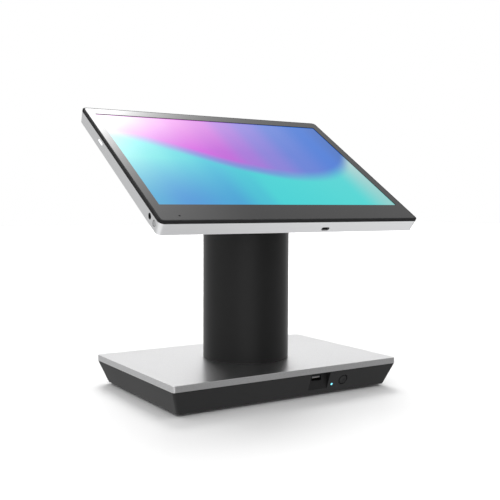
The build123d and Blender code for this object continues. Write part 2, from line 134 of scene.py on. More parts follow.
def makeGrainGroup():
    # fine grain: a speckled colour, a roughness that drifts and a height for bump
    group, start, end = newGroup(
        "fineGrain",
        {"Vector": "Vector", "Color": "Color", "Grain Scale": "Float", "Speckle": "Float",
         "Drift Scale": "Float", "Drift": "Float", "Roughness": "Float", "Roughness Drift": "Float"},
        {"Color": "Color", "Roughness": "Float", "Height": "Float"},
    )
    link = group.links.new
    grain = addNode(group, "ShaderNodeTexNoise", noise_dimensions="3D")
    setInputs(grain, {"Detail": 2.0, "Roughness": 0.6})
    drift = addNode(group, "ShaderNodeTexNoise", noise_dimensions="3D")
    setInputs(drift, {"Detail": 3.0, "Roughness": 0.55})
    for node, scale in ((grain, "Grain Scale"), (drift, "Drift Scale")):
        link(start.outputs["Vector"], node.inputs["Vector"])
        link(start.outputs[scale], node.inputs["Scale"])

    def around(source, amount, middle):
        # middle + (source - 0.5) * amount
        shift = mathNode(group, "SUBTRACT", source, 0.5)
        return mathNode(group, "MULTIPLY_ADD", shift, amount, middle)

    speckled = around(grain.outputs["Fac"], start.outputs["Speckle"], 1.0)
    drifted = around(drift.outputs["Fac"], start.outputs["Drift"], speckled)
    tint = addNode(group, "ShaderNodeVectorMath", operation="SCALE")
    link(start.outputs["Color"], tint.inputs[0])
    link(drifted, tint.inputs["Scale"])
    link(tint.outputs[0], end.inputs["Color"])
    rough = around(drift.outputs["Fac"], start.outputs["Roughness Drift"], start.outputs["Roughness"])
    link(rough, end.inputs["Roughness"])
    link(grain.outputs["Fac"], end.inputs["Height"])
    return group


grainGroup = makeGrainGroup()

# what a finish has where it says nothing else
plainLook = {"grain": 1500.0, "speckle": 0.1, "driftScale": 12.0, "drift": 0.06, "roughDrift": 0.08,
             "bump": 0.1, "depth": 0.05 * mm, "metal": 0.0, "specular": 0.5}


def grainMaterial(name, look):
    # one finish from its values: colour, metal, roughness, grain size and bump depth
    look = {**plainLook, **look}
    material, tree, shader = newMaterial(name)
    link = tree.links.new
    place = addNode(tree, "ShaderNodeTexCoord")
    grain = addNode(tree, "ShaderNodeGroup", node_tree=grainGroup)
    setInputs(grain, {"Color": (*look["color"], 1), "Grain Scale": look["grain"], "Speckle": look["speckle"],
                      "Drift Scale": look["driftScale"], "Drift": look["drift"],
                      "Roughness": look["roughness"], "Roughness Drift": look["roughDrift"]})
    link(place.outputs["Object"], grain.inputs["Vector"])
    bump = addNode(tree, "ShaderNodeBump")
    setInputs(bump, {"Strength": look["bump"], "Distance": look["depth"]})
    link(grain.outputs["Height"], bump.inputs["Height"])
    link(grain.outputs["Color"], shader.inputs["Base Color"])
    link(grain.outputs["Roughness"], shader.inputs["Roughness"])
    link(bump.outputs["Normal"], shader.inputs["Normal"])
    setInputs(shader, {"Metallic": look["metal"], "Specular IOR Level": look["specular"]})
    if "glow" in look:
        setInputs(shader, {"Emission Color": (*look["glow"], 1), "Emission Strength": look["glowStrength"]})
    return material


finishes = {
    "plateAluminium": {"color": (0.69, 0.69, 0.695), "metal": 1.0, "roughness": 0.28, "roughDrift": 0.03,
        "grain": 900.0, "speckle": 0.34, "drift": 0.03, "bump": 0.3, "depth": 0.06 * mm},
    "frameAluminium": {"color": (0.85, 0.855, 0.865), "metal": 1.0, "roughness": 0.38, "grain": 2600.0,
        "speckle": 0.06, "bump": 0.12},
    "shellPlastic": {"color": (0.012, 0.012, 0.0125), "roughness": 0.5, "specular": 0.3, "grain": 1400.0,
        "speckle": 0.25, "bump": 0.3},
    "columnCoat": {"color": (0.012, 0.012, 0.0122), "roughness": 0.32, "specular": 0.25, "grain": 2200.0,
        "speckle": 0.12, "bump": 0.1},
    "rimPlastic": {"color": (0.018, 0.018, 0.0185), "roughness": 0.6, "specular": 0.06, "grain": 2000.0},
    "borderGlass": {"color": (0.003, 0.003, 0.0035), "roughness": 0.035, "grain": 60.0, "speckle": 0.05,
        "driftScale": 18.0, "roughDrift": 0.03, "bump": 0.0},
    "backPlastic": {"color": (0.02, 0.02, 0.022), "roughness": 0.55, "grain": 1500.0, "speckle": 0.25,
        "bump": 0.4},
    "blackPlastic": {"color": (0.012, 0.012, 0.013), "roughness": 0.45, "grain": 1800.0},
    # near-black: partly the parts' own black, partly painted shade at the bottom of gaps, grooves and holes
    "deepBlackAndPaintedShade": {"color": (0.003, 0.003, 0.003), "roughness": 0.6, "specular": 0.1},
    "darkButton": {"color": (0.009, 0.009, 0.0095), "roughness": 0.45, "specular": 0.25, "grain": 2400.0},
    "greyButton": {"color": (0.33, 0.335, 0.34), "roughness": 0.42, "grain": 2400.0},
    "greyRing": {"color": (0.28, 0.28, 0.285), "roughness": 0.45, "grain": 2400.0},
    "footRubber": {"color": (0.015, 0.015, 0.015), "roughness": 0.75, "grain": 1200.0, "speckle": 0.3,
        "bump": 0.5},
    "turretCoat": {"color": (0.02, 0.02, 0.021), "roughness": 0.48, "grain": 1600.0, "bump": 0.25},
    "zincSteel": {"color": (0.62, 0.63, 0.65), "metal": 1.0, "roughness": 0.3, "grain": 700.0,
        "speckle": 0.12},
    "portSteel": {"color": (0.45, 0.45, 0.46), "metal": 1.0, "roughness": 0.28, "grain": 1500.0},
    "goldContact": {"color": (0.83, 0.62, 0.28), "metal": 1.0, "roughness": 0.28, "grain": 1500.0},
    "slipPlastic": {"color": (0.7, 0.7, 0.68), "roughness": 0.5},
    "boardMask": {"color": (0.012, 0.07, 0.03), "roughness": 0.35, "grain": 500.0, "speckle": 0.3},
    "panelBacking": {"color": (0.4, 0.41, 0.42), "metal": 1.0, "roughness": 0.4},
    "sinkAluminium": {"color": (0.03, 0.03, 0.03), "metal": 0.6, "roughness": 0.4},
    "cyanLens": {"color": (0.2, 0.6, 0.7), "roughness": 0.3, "glow": (0.19, 0.74, 0.95),
        "glowStrength": 1.2},
    "tonguePlastic": {"color": (0.22, 0.22, 0.225), "roughness": 0.4, "grain": 1800.0},
    "greenLens": {"color": (0.05, 0.35, 0.1), "roughness": 0.2},
    "amberLens": {"color": (0.6, 0.3, 0.03), "roughness": 0.2},
    # near-black steel: the head's screws are black steel; the front USB can is painted near-black as painted
    # shade inside its mouth
    "blackSteelAndPaintedShade": {"color": (0.03, 0.03, 0.032), "metal": 0.8, "roughness": 0.35, "grain": 900.0},
    "whiteLens": {"color": (0.85, 0.86, 0.88), "roughness": 0.35, "glow": (0.95, 0.97, 1.0),
        "glowStrength": 0.9},
}
materials = {name: grainMaterial(name, look) for name, look in finishes.items()}
print("plain finishes made")


# the cover glass, with the lit picture behind it
glassLook = {
    "border": (0.003, 0.003, 0.0035),
    "roughness": 0.03,
    "smudge": 0.03,
    "ior": 1.5,
    "specular": 0.36,
    "strength": 0.64,
    "softness": 0.15,  # of the wave between the two halves of the picture
    # where the wave runs, its height against the place across, both from 0 to 1
    "waveLine": [(0.0, 0.78), (0.1, 0.73), (0.2, 0.645), (0.3, 0.555), (0.41, 0.455), (0.5, 0.395),
        (0.6, 0.345), (0.7, 0.325), (0.85, 0.37), (1.0, 0.58)],
    "edge": (0.08, 0.16, 0.95),  # the band along the wave, and how much of it from left to right
    "edgeLine": [(0.0, 0.1), (0.2, 0.5), (0.35, 1.0), (0.5, 1.0), (0.7, 0.3), (1.0, 0.0)],
    "edgeStrength": 1.8,
    "lowerReach": (0.05, 0.5),  # heights between which the lower half goes from one ramp to the next
    "lowerBend": 1.5,
    "upperReach": (0.6, 0.92),
    # the smears on the glass
    "smearSize": 18.0,
    "smearTwist": 0.8,
    # colours from left to right, at the top and the bottom of each half
    "upperTop": [(0.0, (1.0, 0.62, 1.0)), (0.12, (1.0, 0.50, 1.0)), (0.22, (1.0, 0.38, 1.0)),
        (0.31, (1.0, 0.28, 1.0)), (0.42, (0.90, 0.23, 1.0)), (0.52, (0.58, 0.25, 1.0)),
        (0.62, (0.35, 0.28, 1.0)), (0.75, (0.14, 0.28, 0.96)), (0.9, (0.02, 0.22, 0.92)),
        (1.0, (0.02, 0.18, 0.74))],
    "upperLow": [(0.0, (0.92, 0.12, 1.0)), (0.3, (0.86, 0.06, 1.0)), (0.42, (0.70, 0.09, 0.94)),
        (0.52, (0.47, 0.17, 0.94)), (0.62, (0.28, 0.23, 0.94)), (0.75, (0.11, 0.24, 0.93)),
        (0.9, (0.02, 0.22, 0.93)), (1.0, (0.02, 0.18, 0.72))],
    "lowerTop": [(0.0, (0.22, 1.0, 1.0)), (0.12, (0.12, 0.98, 1.0)), (0.22, (0.07, 0.90, 1.0)),
        (0.32, (0.03, 0.80, 1.0)), (0.45, (0.01, 0.84, 0.95)), (0.6, (0.01, 0.93, 0.93)),
        (0.85, (0.06, 0.89, 0.93)), (1.0, (0.56, 0.89, 0.89))],
    "lowerBottom": [(0.0, (0.01, 0.49, 0.89)), (0.12, (0.01, 0.38, 0.93)), (0.3, (0.01, 0.48, 0.93)),
        (0.42, (0.01, 0.72, 0.93)), (0.5, (0.01, 0.90, 0.93)), (0.85, (0.03, 0.93, 0.91)),
        (1.0, (0.34, 0.87, 0.84))],
}


def fillRamp(tree, stops):
    ramp = addNode(tree, "ShaderNodeValToRGB")
    ramp.color_ramp.interpolation = "EASE"
    elements = ramp.color_ramp.elements
    while len(elements) < len(stops):
        elements.new(0.5)
    for element, (place, color) in zip(elements, stops):
        element.position = place
        element.color = (*color, 1)
    return ramp


def mixColors(tree, factor, first, second):
    mix = addNode(tree, "ShaderNodeMix", data_type="RGBA")
    tree.links.new(factor, mix.inputs["Factor"])
    for socket, source in ((mix.inputs[6], first), (mix.inputs[7], second)):
        if isinstance(source, tuple):
            socket.default_value = (*source, 1)
        else:
            tree.links.new(source, socket)
    return mix.outputs[2]


def makeGlassMaterial():
    look = glassLook
    material, tree, shader = newMaterial("pictureGlass")
    link = tree.links.new
    place = addNode(tree, "ShaderNodeTexCoord")
    onPanel = addNode(tree, "ShaderNodeMapping", vector_type="TEXTURE")
    setInputs(onPanel, {"Location": activeMiddle, "Rotation": (head["tilt"], 0, 0),
                        "Scale": (head["activeWidth"], head["activeHeight"], 1)})
    link(place.outputs["Object"], onPanel.inputs["Vector"])
    split = addNode(tree, "ShaderNodeSeparateXYZ")
    link(onPanel.outputs["Vector"], split.inputs["Vector"])

    across = mathNode(tree, "ADD", split.outputs["X"], 0.5)  # 0 at the picture's left edge, 1 at its right
    up = mathNode(tree, "ADD", split.outputs["Y"], 0.5)
    above = mathNode(tree, "SUBTRACT", up, curveNode(tree, across, look["waveLine"]))
    side = smoothStep(tree, above, -look["softness"] / 2, look["softness"] / 2)

    ramps = {}
    for name in ("upperTop", "upperLow", "lowerTop", "lowerBottom"):
        ramps[name] = fillRamp(tree, look[name])
        link(across, ramps[name].inputs["Fac"])

    def between(reach):
        # 0 at the first height of the picture, 1 at the second
        node = addNode(tree, "ShaderNodeMapRange")
        setInputs(node, {"From Min": reach[0], "From Max": reach[1]})
        link(up, node.inputs["Value"])
        return node.outputs["Result"]

    rise = mathNode(tree, "POWER", between(look["lowerReach"]), look["lowerBend"])
    lower = mixColors(tree, rise, ramps["lowerBottom"].outputs[0], ramps["lowerTop"].outputs[0])
    rise = between(look["upperReach"])
    upper = mixColors(tree, rise, ramps["upperLow"].outputs[0], ramps["upperTop"].outputs[0])
    picture = mixColors(tree, side, lower, upper)
    # a blue band where the two halves meet
    meeting = mathNode(tree, "MULTIPLY", side, mathNode(tree, "SUBTRACT", 1.0, side))
    meeting = mathNode(tree, "MULTIPLY", meeting, curveNode(tree, across, look["edgeLine"]))
    meeting = mathNode(tree, "MULTIPLY", meeting, look["edgeStrength"])
    picture = mixColors(tree, meeting, picture, look["edge"])

    def inside(source):
        # 1 where the panel's own coordinate is within its half size
        return mathNode(tree, "LESS_THAN", mathNode(tree, "ABSOLUTE", source), 0.5)

    lit = mathNode(tree, "MULTIPLY", inside(split.outputs["X"]), inside(split.outputs["Y"]))
    link(mixColors(tree, lit, (0.0, 0.0, 0.0), picture), shader.inputs["Emission Color"])

    smear = addNode(tree, "ShaderNodeTexNoise")
    setInputs(smear, {"Scale": look["smearSize"], "Detail": 4.0, "Roughness": 0.6,
                      "Distortion": look["smearTwist"]})
    link(place.outputs["Object"], smear.inputs["Vector"])
    rough = mathNode(tree, "MULTIPLY_ADD", smear.outputs["Fac"], look["smudge"], look["roughness"])
    link(rough, shader.inputs["Roughness"])
    setInputs(shader, {"Base Color": (*look["border"], 1), "IOR": look["ior"],
                       "Specular IOR Level": look["specular"], "Emission Strength": look["strength"]})
    return material


materials["pictureGlass"] = makeGlassMaterial()
print("glass made")


def paint(piece, material):
    piece.data.materials.clear()
    piece.data.materials.append(materials[material])
    return piece


def paintAll(pieces, material):
    return [paint(piece, material) for piece in pieces]


# the finish of each of the frame's own nodes
finishNodes = {
    "plateAluminium": ["base_top_plate"],
    "shellPlastic": ["base_shell"],
    "turretCoat": ["bottom_cover", "swivel_turret", "hinge_bracket"],
    "footRubber": ["base_feet"],
    "zincSteel": ["bottom_screws", "ballast_plate", "post_foot", "column_post", "post_head",
        "post_bolts", "cap_screws", "swivel_retainer", "swivel_spring", "tilt_shaft",
        "disc_springs", "tilt_nuts", "mid_frame", "bracket_screws", "back_screws"],
    "boardMask": ["io_board", "front_board", "main_board", "side_board", "usb_board"],
    "portSteel": ["usb_a_port", "rear_usb_ports", "lan_port", "usb_c_port"],
    "blackPlastic": ["drawer_port", "dc_inlet", "base_button_switch", "column_foot_ring", "column_cap",
        "processor", "speakers", "side_switch"],
    "darkButton": ["base_power_button"],
    "cyanLens": ["base_status_light"],
    "columnCoat": ["column_tube"],
    "slipPlastic": ["swivel_washer", "tilt_washers"],
    "pictureGlass": ["touch_glass"],
    "borderGlass": ["glass_border"],
    "rimPlastic": ["screen_surround"],
    "frameAluminium": ["head_frame"],
    "backPlastic": ["back_cover"],
    "panelBacking": ["lcd_panel"],
    "sinkAluminium": ["heat_sink"],
    # near-black, partly painted shade in the jack's hole and the microphone's pinhole
    "deepBlackAndPaintedShade": ["audio_jack", "microphone"],
    "greyButton": ["head_power_button"],
    "greyRing": ["power_button_ring"],
    "whiteLens": ["status_light"],
}
for finish, names in finishNodes.items():
    paintAll([nodes[name] for name in names], finish)
print("frame nodes finished")


# modelling helpers
def onLine(spot, axis):
    # gives a function from a place along the axis to the point there on the line through spot
    def point(place):
        found = Vector(spot)
        found[axis] = place
        return found
    return point


def clearSelection():
    bpy.ops.object.select_all(action="DESELECT")


def keepPlace(name):
    # names the new primitive and puts its place in its mesh
    piece = bpy.context.object
    piece.name = name
    bpy.ops.object.transform_apply(location=True, rotation=True, scale=True)
    return piece


def addBlock(name, low, high):
    low, high = Vector(low), Vector(high)
    clearSelection()
    bpy.ops.mesh.primitive_cube_add(size=1, location=(low + high) / 2, scale=high - low)
    return keepPlace(name)


def addRod(name, radius, start, end, sides=48):
    start, end = Vector(start), Vector(end)
    clearSelection()
    bpy.ops.mesh.primitive_cylinder_add(
        vertices=sides, radius=radius, depth=(end - start).length, location=(start + end) / 2,
        rotation=(end - start).to_track_quat("Z", "Y").to_euler())
    return keepPlace(name)


def openEdit(piece, kind):
    clearSelection()
    piece.select_set(True)
    bpy.context.view_layer.objects.active = piece
    bpy.ops.object.mode_set(mode="EDIT")
    bpy.ops.mesh.select_mode(type=kind)
    bpy.ops.mesh.select_all(action="DESELECT")
    return bmesh.from_edit_mesh(piece.data)


def closeEdit():
    bpy.ops.object.mode_set(mode="OBJECT")


def pickFaces(piece, test):
    # opens the piece with the faces selected whose middle and normal pass the test
    mesh = openEdit(piece, "FACE")
    for face in mesh.faces:
        face.select_set(test(face.calc_center_median(), face.normal))
    bmesh.update_edit_mesh(piece.data)


def pickEdges(piece, test):
    # opens the piece with the edges selected whose two ends pass the test
    mesh = openEdit(piece, "EDGE")
    for edge in mesh.edges:
        edge.select_set(test(edge.verts[0].co, edge.verts[1].co))
    bmesh.update_edit_mesh(piece.data)


def pushFaces(piece, test, rim, move):
    # insets the chosen faces by rim and moves what is inside the rim
    pickFaces(piece, test)
    if rim:
        bpy.ops.mesh.inset(thickness=rim, depth=0)
    bpy.ops.mesh.extrude_region_move(TRANSFORM_OT_translate={"value": Vector(move)})
    closeEdit()


def roundEdges(piece, test, size, steps=2):
    pickEdges(piece, test)
    bpy.ops.mesh.bevel(offset=size, segments=steps, affect="EDGES")
    closeEdit()


flat = 0.999  # for faces that look straight along a direction


def facing(direction, nearest=0.9):
    direction = Vector(direction)
    return lambda middle, normal: normal.dot(direction) > nearest


def atLevel(axis, level, near=1e-5):
    # edges that lie in the plane where the axis has this value
    return lambda a, b: abs(a[axis] - level) < near and abs(b[axis] - level) < near


def along(axis, near=1e-5):
    # edges that run along the axis
    others = [k for k in range(3) if k != axis]
    return lambda a, b: all(abs(a[k] - b[k]) < near for k in others)


def carve(piece, cutter):
    clearSelection()
    piece.select_set(True)
    bpy.context.view_layer.objects.active = piece
    cut = piece.modifiers.new("cut", "BOOLEAN")
    cut.operation = "DIFFERENCE"
    cut.solver = "EXACT"
    cut.object = cutter
    bpy.ops.object.modifier_apply(modifier="cut")
    bpy.data.objects.remove(cutter)


def joinParts(name, parts):
    clearSelection()
    for part in parts:
        part.select_set(True)
    bpy.context.view_layer.objects.active = parts[0]
    bpy.ops.object.join()
    parts[0].name = name
    return parts[0]


def copyPart(piece, name, shift):
    # a copy with its own mesh, moved
    copy = piece.copy()
    copy.data = piece.data.copy()
    copy.name = name
    bpy.context.scene.collection.objects.link(copy)
    copy.data.transform(Matrix.Translation(shift))
    return copy


def standAt(piece, matrix):
    piece.data.transform(matrix)
    piece.data.update()


mend = {"doubles": 1e-7, "smoothBelow": math.radians(32)}  # points closer than this are merged


def handOver(piece, body, replaced, place=None):
    # places and smooths the finished piece, attaches it to its body and hides the node it replaces, if any
    if place:
        standAt(piece, place)
    clearSelection()
    piece.select_set(True)
    bpy.context.view_layer.objects.active = piece
    bpy.ops.object.mode_set(mode="EDIT")
    bpy.ops.mesh.select_all(action="SELECT")
    bpy.ops.mesh.remove_doubles(threshold=mend["doubles"])
    bpy.ops.mesh.normals_make_consistent(inside=False)
    bpy.ops.object.mode_set(mode="OBJECT")
    bpy.ops.object.shade_smooth_by_angle(angle=mend["smoothBelow"])
    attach(piece, body)
    if replaced:
        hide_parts(replaced)


def panelBox(name):
    # a head node's lowest and highest corners in the panel's own frame
    spots = [headPlace.inverted() @ vertex.co for vertex in nodes[name].data.vertices]
    return [Vector([pick(spot[k] for spot in spots) for k in range(3)]) for pick in (min, max)]


# USB A sockets: a folded steel can, a plastic tongue and four contacts
usbLook = {
    "wall": 0.3 * mm,
    "corner": 0.5 * mm,
    "lipRound": 0.08 * mm,
    "tongueWidth": 11.1 * mm,
    "tongueHeight": 1.84 * mm,
    "tongueRise": 1.0 * mm,
    "tongueSetBack": 1.2 * mm,
    "tongueRound": 0.35 * mm,
    "contactWidth": 1.1 * mm,
    "contactGaps": (-3.5 * mm, -1.0 * mm, 1.0 * mm, 3.5 * mm),
    "contactSetBack": 0.5 * mm,  # behind the tongue's front
    "contactProud": 0.18 * mm,
    "contactSunk": 0.05 * mm,
    "contactRound": 0.1 * mm,
}


def makeUsbSocket(name, low, high, skin, tongueSkin):
    # its mouth faces low y
    look = usbLook
    can = addBlock(name, low, high)
    roundEdges(can, along(1), look["corner"], 3)
    pushFaces(can, facing((0, -1, 0)), look["wall"], (0, high.y - low.y - look["wall"], 0))
    roundEdges(can, atLevel(1, low.y), look["lipRound"], 1)
    middle = (low + high) / 2
    top = middle.z + look["tongueRise"] + look["tongueHeight"] / 2
    under = top - look["tongueHeight"]
    half = look["tongueWidth"] / 2
    start = low.y + look["tongueSetBack"]
    back = high.y - look["wall"]
    tongue = addBlock(name + "Tongue", (middle.x - half, start, under), (middle.x + half, back, top))
    roundEdges(tongue, atLevel(1, start), look["tongueRound"])
    parts = [paint(can, skin), paint(tongue, tongueSkin)]
    start += look["contactSetBack"]
    for gap in look["contactGaps"]:
        left = middle.x + gap - look["contactWidth"] / 2
        strip = addBlock(name + "Contact", (left, start, under - look["contactProud"]),
                         (left + look["contactWidth"], back, under + look["contactSunk"]))
        roundEdges(strip, atLevel(1, start), look["contactRound"])
        parts.append(paint(strip, "goldContact"))
    return joinParts(name, parts)


def makeUsbSockets():
    frontLow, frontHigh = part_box("usb_a_port")
    # the front can is painted near-black steel: painted shade inside the socket's mouth
    socket = makeUsbSocket("frontUsbSocket", frontLow, frontHigh, "blackSteelAndPaintedShade", "tonguePlastic")
    handOver(socket, "base", "usb_a_port")
    low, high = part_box("rear_usb_ports")
    width = frontHigh.x - frontLow.x
    firstHigh = Vector((low.x + width, high.y, high.z))
    first = makeUsbSocket("rearUsbSocketLeft", low, firstHigh, "portSteel", "blackPlastic")
    middle = (low + firstHigh) / 2
    turn = Matrix.Translation(middle) @ Matrix.Rotation(math.pi, 4, "Z") @ Matrix.Translation(-middle)
    standAt(first, turn)
    second = copyPart(first, "rearUsbSocketRight", (high.x - low.x - width, 0, 0))
    handOver(first, "base", "rear_usb_ports")
    handOver(second, "base", None)


# the two modular sockets at the back
modularLook = {
    "lan": {"node": "lan_port", "mouth": 11.8 * mm, "pins": 8, "skin": "portSteel", "slot": "port_steel",
            "lamps": ((-1, "greenLens"), (1, "amberLens"))},
    "drawer": {"node": "drawer_port", "mouth": 9.8 * mm, "pins": 6, "skin": "blackPlastic",
               "slot": "black_plastic", "lamps": ()},
    "corner": 0.4 * mm,
    "faceRound": 0.2 * mm,
    "mouthLow": 1.2 * mm,
    "mouthHeight": 6.8 * mm,
    "mouthDepth": 11.5 * mm,
    "keyWidth": 6.0 * mm,
    "keyHeight": 1.8 * mm,
    "keyLap": 0.1 * mm,
    "cutterOver": 1.0 * mm,  # how far a cutter stands out of the face
    "linerGap": 0.05 * mm,
    "linerLift": 0.02 * mm,
    "linerDepth": 4.0 * mm,
    "linerHeight": 3.2 * mm,
    "linerRound": 0.5 * mm,
    "pinPitch": 1.02 * mm,
    "pinWidth": 0.45 * mm,
    "pinStart": 3.0 * mm,  # in front of the mouth's floor
    "pinSetBack": 2.2 * mm,
    "pinLow": 0.25 * mm,
    "pinTop": 0.6 * mm,
    "pinSpring": 2.4 * mm,
    "lampWidth": 2.4 * mm,
    "lampHeight": 1.3 * mm,
    "lampInset": 0.5 * mm,
    "lampDrop": 2.2 * mm,
    "lampDepth": 1.2 * mm,
    "lampProud": 0.02 * mm,
    "lampRound": 0.2 * mm,
}


def makeModularSocket(name, kind):
    look, own = modularLook, modularLook[kind]
    low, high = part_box(own["node"])
    middle = (low.x + high.x) / 2
    body = addBlock(name, low, high)
    roundEdges(body, along(1), look["corner"])
    roundEdges(body, atLevel(1, high.y), look["faceRound"])
    mouthLow = low.z + look["mouthLow"]
    mouthTop = mouthLow + look["mouthHeight"]
    back = high.y - look["mouthDepth"]
    front = high.y + look["cutterOver"]
    half = own["mouth"] / 2
    carve(body, addBlock("mouthCutter", (middle - half, back, mouthLow), (middle + half, front, mouthTop)))
    keyHalf = look["keyWidth"] / 2
    carve(body, addBlock("keyCutter", (middle - keyHalf, back, mouthTop - look["keyLap"]),
                         (middle + keyHalf, front, mouthTop + look["keyHeight"])))
    half -= look["linerGap"]
    linerFront = back + look["linerDepth"]
    liner = addBlock(name + "Liner", (middle - half, back + look["linerLift"], mouthLow + look["linerLift"]),
                     (middle + half, linerFront, mouthLow + look["linerHeight"]))
    roundEdges(liner, atLevel(1, linerFront), look["linerRound"])
    parts = [paint(body, own["skin"]), paint(liner, "blackPlastic")]
    first = middle - look["pinPitch"] * (own["pins"] - 1) / 2
    for index in range(own["pins"]):
        left = first + index * look["pinPitch"] - look["pinWidth"] / 2
        pin = addBlock(name + "Pin", (left, back + look["pinStart"], mouthLow + look["pinLow"]),
                       (left + look["pinWidth"], high.y - look["pinSetBack"], mouthLow + look["pinTop"]))
        # the free end springs up into the mouth
        pickFaces(pin, facing((0, -1, 0)))
        bpy.ops.transform.translate(value=(0, 0, look["pinSpring"]))
        closeEdit()
        parts.append(paint(pin, "goldContact"))
    level = high.z - look["lampDrop"]
    rise = look["lampHeight"] / 2
    for side, lens in own["lamps"]:
        outer = middle + side * ((high.x - low.x) / 2 - look["lampInset"])
        left = min(outer, outer - side * look["lampWidth"])
        lamp = addBlock(name + "Lamp", (left, high.y - look["lampDepth"], level - rise),
                        (left + look["lampWidth"], high.y + look["lampProud"], level + rise))
        roundEdges(lamp, along(1), look["lampRound"])
        parts.append(paint(lamp, lens))
    handOver(joinParts(name, parts), "base", own["node"])


# power inlet: a square shouldered body with a round mouth and a centre pin
inletLook = {
    "corner": 0.6 * mm,
    "faceRound": 0.25 * mm,
    "axisHeight": 5.5 * mm,
    "mouth": 3.2 * mm,
    "depth": 9.0 * mm,
    "cutterOver": 1.0 * mm,
    "root": 0.2 * mm,  # how far the sleeve and the pin are let into the mouth's floor
    "sleeveGap": 0.02 * mm,
    "sleeveWall": 0.25 * mm,
    "sleeveSetBack": 1.0 * mm,
    "sleeveFloor": 1.2 * mm,
    "pin": 1.0 * mm,
    "pinSetBack": 1.2 * mm,
    "pinRound": 0.5 * mm,
}


def makePowerInlet():
    look = inletLook
    low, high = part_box("dc_inlet")
    body = addBlock("powerInlet", low, high)
    roundEdges(body, along(1), look["corner"], 3)
    roundEdges(body, atLevel(1, high.y), look["faceRound"])

    onAxis = onLine(((low.x + high.x) / 2, 0, low.z + look["axisHeight"]), 1)
    inside = high.y - look["depth"]
    carve(body, addRod("mouthCutter", look["mouth"], onAxis(inside), onAxis(high.y + look["cutterOver"])))
    sleeve = addRod("powerInletSleeve", look["mouth"] - look["sleeveGap"], onAxis(inside - look["root"]),
                    onAxis(high.y - look["sleeveSetBack"]))
    pushFaces(sleeve, facing((0, 1, 0)), look["sleeveWall"], (0, look["sleeveFloor"] - look["depth"], 0))
    pinEnd = high.y - look["pinSetBack"]
    pin = addRod("powerInletPin", look["pin"], onAxis(inside - look["root"]), onAxis(pinEnd), 24)
    roundEdges(pin, atLevel(1, pinEnd), look["pinRound"], 3)
    inlet = joinParts("powerInlet", [paint(body, "blackPlastic")] + paintAll((sleeve, pin), "portSteel"))
    handOver(inlet, "base", "dc_inlet")


# USB C socket in the head's lower wall
typeCLook = {
    "wall": 0.3 * mm,
    "cornerSpare": 0.02 * mm,  # keeps the rounded ends just short of half round
    "lipRound": 0.08 * mm,
    "tongueWidth": 6.7 * mm,
    "tongueHeight": 0.7 * mm,
    "tongueSetBack": 0.9 * mm,
    "tongueRound": 0.2 * mm,
    "contacts": 12,  # on each side of the tongue
    "contactPitch": 0.5 * mm,
    "contactWidth": 0.26 * mm,
    "contactRise": 0.03 * mm,
    "contactSetBack": 0.5 * mm,
    "contactEnd": 2.0 * mm,
}


def makeUsbCSocket():
    look = typeCLook
    low, high = panelBox("usb_c_port")
    can = addBlock("usbCSocket", low, high)
    roundEdges(can, along(1), (high.z - low.z) / 2 - look["cornerSpare"], 8)
    pushFaces(can, facing((0, -1, 0)), look["wall"], (0, high.y - low.y - look["wall"], 0))
    roundEdges(can, atLevel(1, low.y), look["lipRound"], 1)
    middle = (low + high) / 2
    start = low.y + look["tongueSetBack"]
    half = look["tongueWidth"] / 2
    rise = look["tongueHeight"] / 2
    tongue = addBlock("usbCTongue", (middle.x - half, start, middle.z - rise),
                      (middle.x + half, high.y - look["wall"], middle.z + rise))
    roundEdges(tongue, atLevel(1, start), look["tongueRound"])
    parts = [paint(can, "portSteel"), paint(tongue, "blackPlastic")]
    start += look["contactSetBack"]
    half = look["contactWidth"] / 2
    for side in (-1, 1):
        for index in range(look["contacts"]):
            spot = middle.x + (index - (look["contacts"] - 1) / 2) * look["contactPitch"]
            level = middle.z + side * rise
            strip = addBlock("usbCContact", (spot - half, start, level - look["contactRise"]),
                             (spot + half, high.y - look["contactEnd"], level + look["contactRise"]))
            parts.append(paint(strip, "goldContact"))
    handOver(joinParts("usbCSocket", parts), "head", "usb_c_port", headPlace)


# base power button: a dished cap on a flange, with a stem
baseButtonLook = {
    "cap": 5.2 * mm,
    "capEdge": 0.25 * mm,
    "capRound": 0.35 * mm,
    "capRim": 0.5 * mm,
    "dishSteps": ((2.2 * mm, -0.21 * mm), (1.4 * mm, -0.14 * mm)),  # how wide and how deep each step is
    "flange": 6.9 * mm,
    "flangeTop": 2.75 * mm,
    "flangeLow": 3.6 * mm,
    "flangeRound": 0.2 * mm,
    "stem": 1.6 * mm,
    "stemLow": 8.0 * mm,
    "stemLap": 0.1 * mm,
    "stemRound": 0.3 * mm,
}


